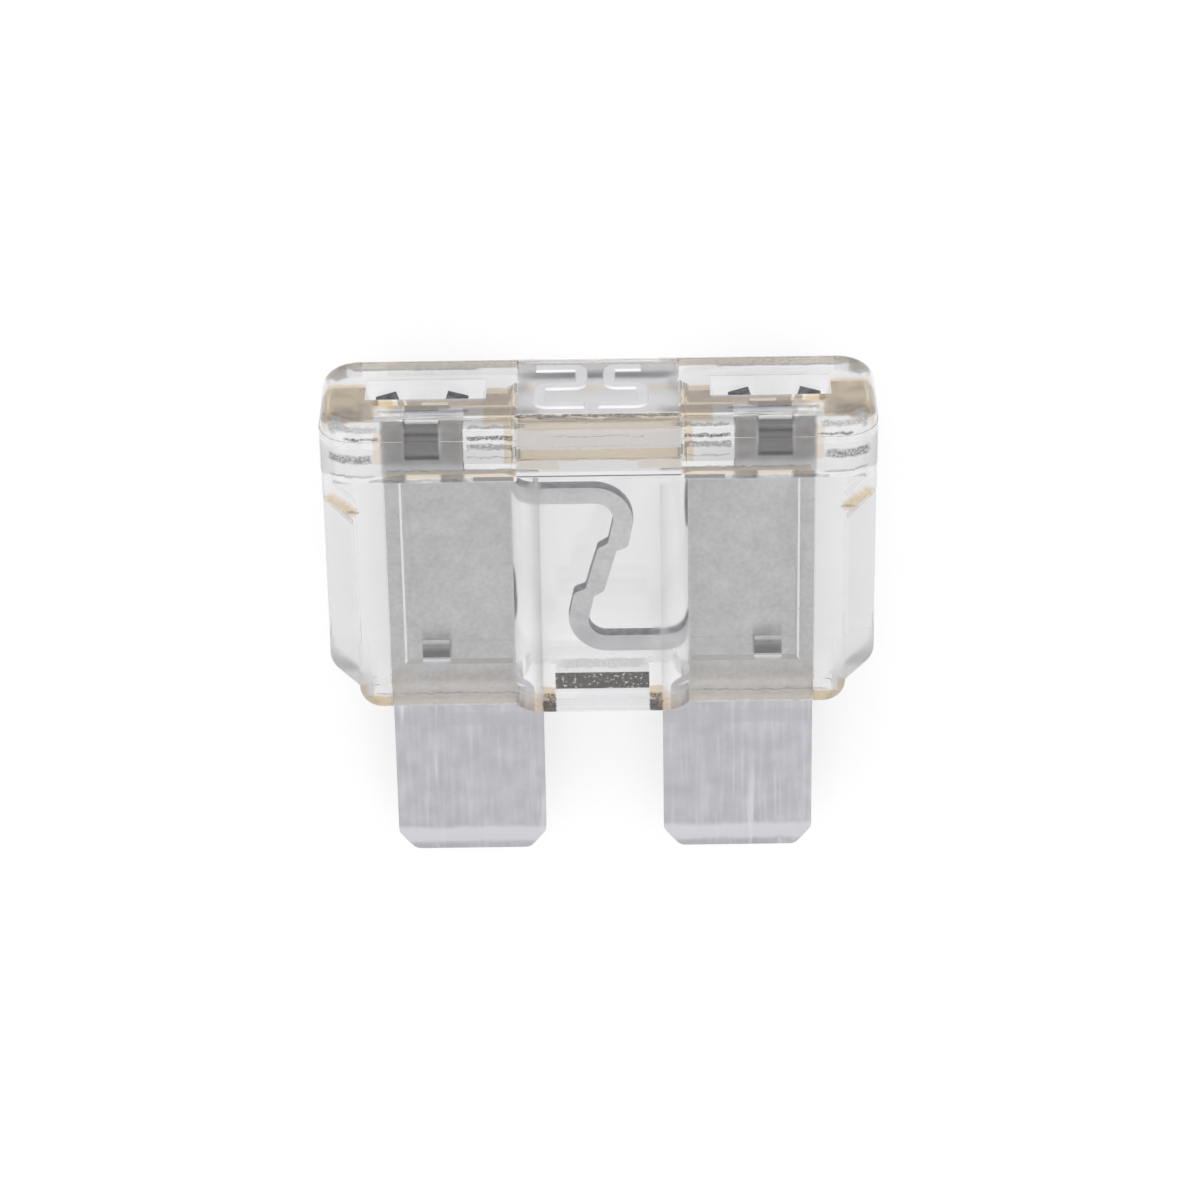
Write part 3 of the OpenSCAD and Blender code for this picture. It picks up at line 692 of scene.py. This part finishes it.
def makeRolledZinc():
    values = rolledZinc
    material, tree = newMaterial("rolled zinc")
    coords = addNode(tree, "ShaderNodeTexCoord", -2200, 0)
    spot = coords.outputs["Object"]
    drawn = addNode(tree, "ShaderNodeMapping", -1900, 200)
    drawn.inputs["Scale"].default_value = (1.0, values["streakStretch"], 1.0)
    link(tree, spot, drawn.inputs["Vector"])
    exact = addGroup(tree, -1900, -900, foldedPlace, coords, **values["crispEdge"])
    ragged = addGroup(tree, -1900, -1200, foldedPlace, coords, **values["raggedEdge"])
    streak = addNoise(tree, -1600, 400, drawn.outputs["Vector"], *values["streak"])
    mottle = addNoise(tree, -1600, 150, spot, *values["mottle"])
    grain = addNoise(tree, -1600, -100, spot, *values["grain"])
    grime = addNoise(tree, -1600, -350, spot, *values["grime"])
    plug = addPatches(tree, -1600, -900, ragged, values["plugPatches"])
    plugStreak = addNode(tree, "ShaderNodeMix", -1150, 500, data_type="FLOAT")
    link(tree, plug, plugStreak.inputs["Factor"])
    link(tree, grain, plugStreak.inputs["A"])
    link(tree, streak, plugStreak.inputs["B"])
    mixed = addNode(tree, "ShaderNodeMix", -1000, 300, data_type="FLOAT")
    mixed.inputs["Factor"].default_value = values["mottleShare"]
    link(tree, plugStreak.outputs["Result"], mixed.inputs["A"])
    link(tree, mottle, mixed.inputs["B"])
    uneven = mixed.outputs["Result"]
    scuffs = addGroup(tree, -1600, -600, fineScuffs, coords, **values["scuffs"])
    rubbed = addMath(tree, "MULTIPLY", -1200, -600, scuffs, plug)
    tip = addPatches(tree, -1600, -1200, ragged, values["tipPatches"])
    # darker worked metal in the tabs and painted shade on the upper arm of the link
    workedAndShade = addPatches(tree, -1600, -1500, ragged, values["workedAndShadePatches"])
    workedAndShadeUneven = addMath(tree, "MULTIPLY", -1200, -1500, workedAndShade, grime)
    prongs = addPatches(tree, -1600, -1800, exact, values["prongPatches"])
    prongUneven = addMath(tree, "MULTIPLY", -1200, -1800, prongs, grime)
    sheared = addNode(tree, "ShaderNodeAttribute", -1600, -2100, attribute_name="sheared")
    shearedUneven = addMath(tree, "MULTIPLY", -1200, -2100, sheared.outputs["Fac"], grime)
    specks = addGroup(tree, -1600, -2400, darkSpecks, coords, **values["specks"])
    links = addPatches(tree, -1600, -2700, exact, values["linkPatches"])
    linkEdges = addMath(tree, "MULTIPLY", -1200, -2700, shearedUneven, links)
    band = addPatches(tree, -1600, -3000, ragged, values["bandPatches"])
    inner = addBlend(
        tree, -1250, 0, uneven, values["innerDarkColour"], values["innerPaleColour"])
    outer = addBlend(tree, -1250, 200, uneven, values["darkColour"], values["paleColour"])
    steps = [
        (plug, outer), (band, values["darkColour"]), (rubbed, values["rubbedColour"]),
        (tip, values["tipColour"]), (shearedUneven, values["shearedColour"]),
        (linkEdges, values["linkEdgeColour"]),
        (workedAndShadeUneven, values["workedAndShadeColour"]), (prongUneven, values["prongColour"]),
        (specks, values["speckColour"])]
    colour = inner
    for column, (mask, coat) in enumerate(steps):
        colour = addBlend(tree, -950 + 150 * column, 0, mask, colour, coat)
    rough = addNode(tree, "ShaderNodeMapRange", -500, -300)
    rough.inputs["To Min"].default_value = values["roughnessLow"]
    rough.inputs["To Max"].default_value = values["roughnessHigh"]
    link(tree, uneven, rough.inputs["Value"])
    relief = addMath(tree, "ADD", -700, -700, uneven, rubbed)
    bump = addNode(tree, "ShaderNodeBump", -300, -600)
    bump.inputs["Strength"].default_value = values["reliefStrength"]
    bump.inputs["Distance"].default_value = values["reliefHeight"]
    link(tree, relief, bump.inputs["Height"])
    shader = addNode(tree, "ShaderNodeBsdfPrincipled", 150, 200)
    shader.inputs["Metallic"].default_value = 1.0
    out = addNode(tree, "ShaderNodeOutputMaterial", 450, 200)
    link(tree, colour, shader.inputs["Base Color"])
    link(tree, rough.outputs["Result"], shader.inputs["Roughness"])
    link(tree, bump.outputs["Normal"], shader.inputs["Normal"])
    link(tree, shader.outputs["BSDF"], out.inputs["Surface"])
    return material


# marks the sheared edges: 1 on faces that look sideways, 0 on the rolled faces
def markShearedEdges(mesh):
    normals = np.empty(len(mesh.polygons) * 3)
    mesh.polygons.foreach_get("normal", normals)
    upward = np.abs(normals.reshape(-1, 3)[:, 2])
    share = (rolledZinc["shearedFrom"] - upward) / rolledZinc["shearedFade"]
    paintFaces(mesh, "sheared", np.clip(share, 0, 1))


def buildElement():
    element = mergedCopy("fuse_element", "stamped_zinc_element")
    rounded = element.modifiers.new("stamped edges", "BEVEL")
    rounded.width = rolledZinc["bevel"]
    rounded.segments = rolledZinc["bevelSegments"]
    rounded.limit_method = "ANGLE"
    rounded.angle_limit = math.radians(rolledZinc["bevelAngle"])
    rounded.harden_normals = False
    applyModifiers(element)
    markShearedEdges(element.data)
    shadeFlatAndRound(element, rolledZinc["crispAngle"])
    element.data.materials.append(makeRolledZinc())
    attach(element, "root")
    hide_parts("fuse_element")
    return element


element = buildElement()
print("element:", len(element.data.polygons), "faces")

studio = {
    "floorHalf": 1.2,
    "floorColour": (0.52, 0.52, 0.52, 1),
    "floorLift": 0.50,  # light that the floor adds where it is seen, which makes it white
    "floorGrain": (900.0, 2.0, (0.0, 1.0), (0.85, 0.95)),  # roughness
    "skyColour": (0.97, 0.975, 1.0, 1),
    "horizonColour": (0.445, 0.41, 0.36, 1),
    "skyStrength": 0.95,
    "horizonTop": 0.5,
    "lamps": [  # name, place, size and power
        ("softbox above", (0.05, 0.20, 0.60), 0.60, 0.7),
        ("softbox left", (-0.50, -0.10, 0.35), 0.40, 0.25),
    ],
}


def makeFloor():
    half = studio["floorHalf"]
    mesh = bpy.data.meshes.new("floor")
    corners = [(-half, -half, 0), (half, -half, 0), (half, half, 0), (-half, half, 0)]
    mesh.from_pydata(corners, [], [(0, 1, 2, 3)])
    floor = bpy.data.objects.new("floor", mesh)
    bpy.context.scene.collection.objects.link(floor)
    material, tree = newMaterial("white sweep")
    coords = addNode(tree, "ShaderNodeTexCoord", -1100, 0)
    rough = addNoise(tree, -900, 0, coords.outputs["Object"], *studio["floorGrain"])
    paper = addNode(tree, "ShaderNodeBsdfPrincipled", -400, 0)
    paper.inputs["Base Color"].default_value = studio["floorColour"]
    paper.inputs["Specular IOR Level"].default_value = 0.0
    glow = addNode(tree, "ShaderNodeEmission", -400, 300)
    path = addNode(tree, "ShaderNodeLightPath", -1100, 500)
    seen = addMath(
        tree, "MAXIMUM", -900, 500, path.outputs["Is Camera Ray"], path.outputs["Is Glossy Ray"])
    alsoSeen = addMath(tree, "MAXIMUM", -750, 500, seen, path.outputs["Is Transmission Ray"])
    lift = addMath(tree, "MULTIPLY", -600, 500, alsoSeen, studio["floorLift"])
    both = addNode(tree, "ShaderNodeAddShader", 0, 100)
    out = addNode(tree, "ShaderNodeOutputMaterial", 200, 100)
    link(tree, rough, paper.inputs["Roughness"])
    link(tree, lift, glow.inputs["Strength"])
    link(tree, paper.outputs["BSDF"], both.inputs[0])
    link(tree, glow.outputs["Emission"], both.inputs[1])
    link(tree, both.outputs["Shader"], out.inputs["Surface"])
    mesh.materials.append(material)


# soft room light: pale overhead, warm and dimmer near the horizon, and white behind everything
def makeWorld():
    world = bpy.data.worlds.new("soft room")
    bpy.context.scene.world = world
    world.use_nodes = True
    tree = world.node_tree
    tree.nodes.clear()
    coords = addNode(tree, "ShaderNodeTexCoord", -1100, 0)
    parts = addNode(tree, "ShaderNodeSeparateXYZ", -900, 0)
    height = addNode(tree, "ShaderNodeMapRange", -700, 0, interpolation_type="SMOOTHSTEP")
    height.inputs["From Max"].default_value = studio["horizonTop"]
    link(tree, coords.outputs["Generated"], parts.inputs[0])
    link(tree, parts.outputs["Z"], height.inputs["Value"])
    room = addBlend(
        tree, -450, 0, height.outputs["Result"], studio["horizonColour"], studio["skyColour"])
    path = addNode(tree, "ShaderNodeLightPath", -450, 400)
    soft = addNode(tree, "ShaderNodeBackground", -200, 0)
    soft.inputs["Strength"].default_value = studio["skyStrength"]
    white = addNode(tree, "ShaderNodeBackground", -200, -200)
    white.inputs["Color"].default_value = (1, 1, 1, 1)
    mixed = addNode(tree, "ShaderNodeMixShader", 50, 0)
    out = addNode(tree, "ShaderNodeOutputWorld", 250, 0)
    link(tree, room, soft.inputs["Color"])
    link(tree, path.outputs["Is Camera Ray"], mixed.inputs["Fac"])
    link(tree, soft.outputs[0], mixed.inputs[1])
    link(tree, white.outputs[0], mixed.inputs[2])
    link(tree, mixed.outputs[0], out.inputs["Surface"])


# a square area lamp that faces the part
def addSoftbox(name, place, size, power):
    lamp = bpy.data.lights.new(name, "AREA")
    lamp.shape = "SQUARE"
    lamp.size = size
    lamp.energy = power
    box = bpy.data.objects.new(name, lamp)
    away = np.array(place, dtype=float)
    box.location = place
    box.rotation_euler = (
        math.acos(away[2] / np.linalg.norm(away)), 0, math.atan2(away[1], away[0]) + math.pi / 2)
    bpy.context.scene.collection.objects.link(box)


makeFloor()
makeWorld()
for lamp in studio["lamps"]:
    addSoftbox(*lamp)
print("floor, world and lamps are in")

# The camera stands in front of the part and above its head end, as in the photograph. Its angles
# turn the part about its own axes, and the shift is the small sideways and downward offset.
view = {
    "pitch": math.radians(29.32),
    "yaw": math.radians(-0.31),
    "roll": math.radians(0.78),
    "shift": (0.064 * mm, -0.74 * mm),
    "distance": 165 * mm,
    "lens": 140.54,
    "sensor": 36,
    "clip": (0.01, 20),
}
lens = bpy.data.cameras.new("camera")
lens.sensor_width = view["sensor"]
lens.lens = view["lens"]
lens.clip_start, lens.clip_end = view["clip"]
camera = bpy.data.objects.new("camera", lens)
camera.matrix_world = (
    Matrix.Translation((0, 0, midZ))
    @ Matrix.Rotation(-view["pitch"], 4, "X")
    @ Matrix.Rotation(-view["yaw"], 4, "Y")
    @ Matrix.Rotation(-view["roll"], 4, "Z")
    @ Matrix.Translation((-view["shift"][0], -view["shift"][1], view["distance"])))
bpy.context.scene.collection.objects.link(camera)
scene = bpy.context.scene
scene.camera = camera
scene.view_settings.view_transform = "Standard"
# clear plastic passes light on inside many times before it leaves
scene.cycles.max_bounces = 32
scene.cycles.glossy_bounces = 24
scene.cycles.transmission_bounces = 24
scene.cycles.transparent_max_bounces = 24
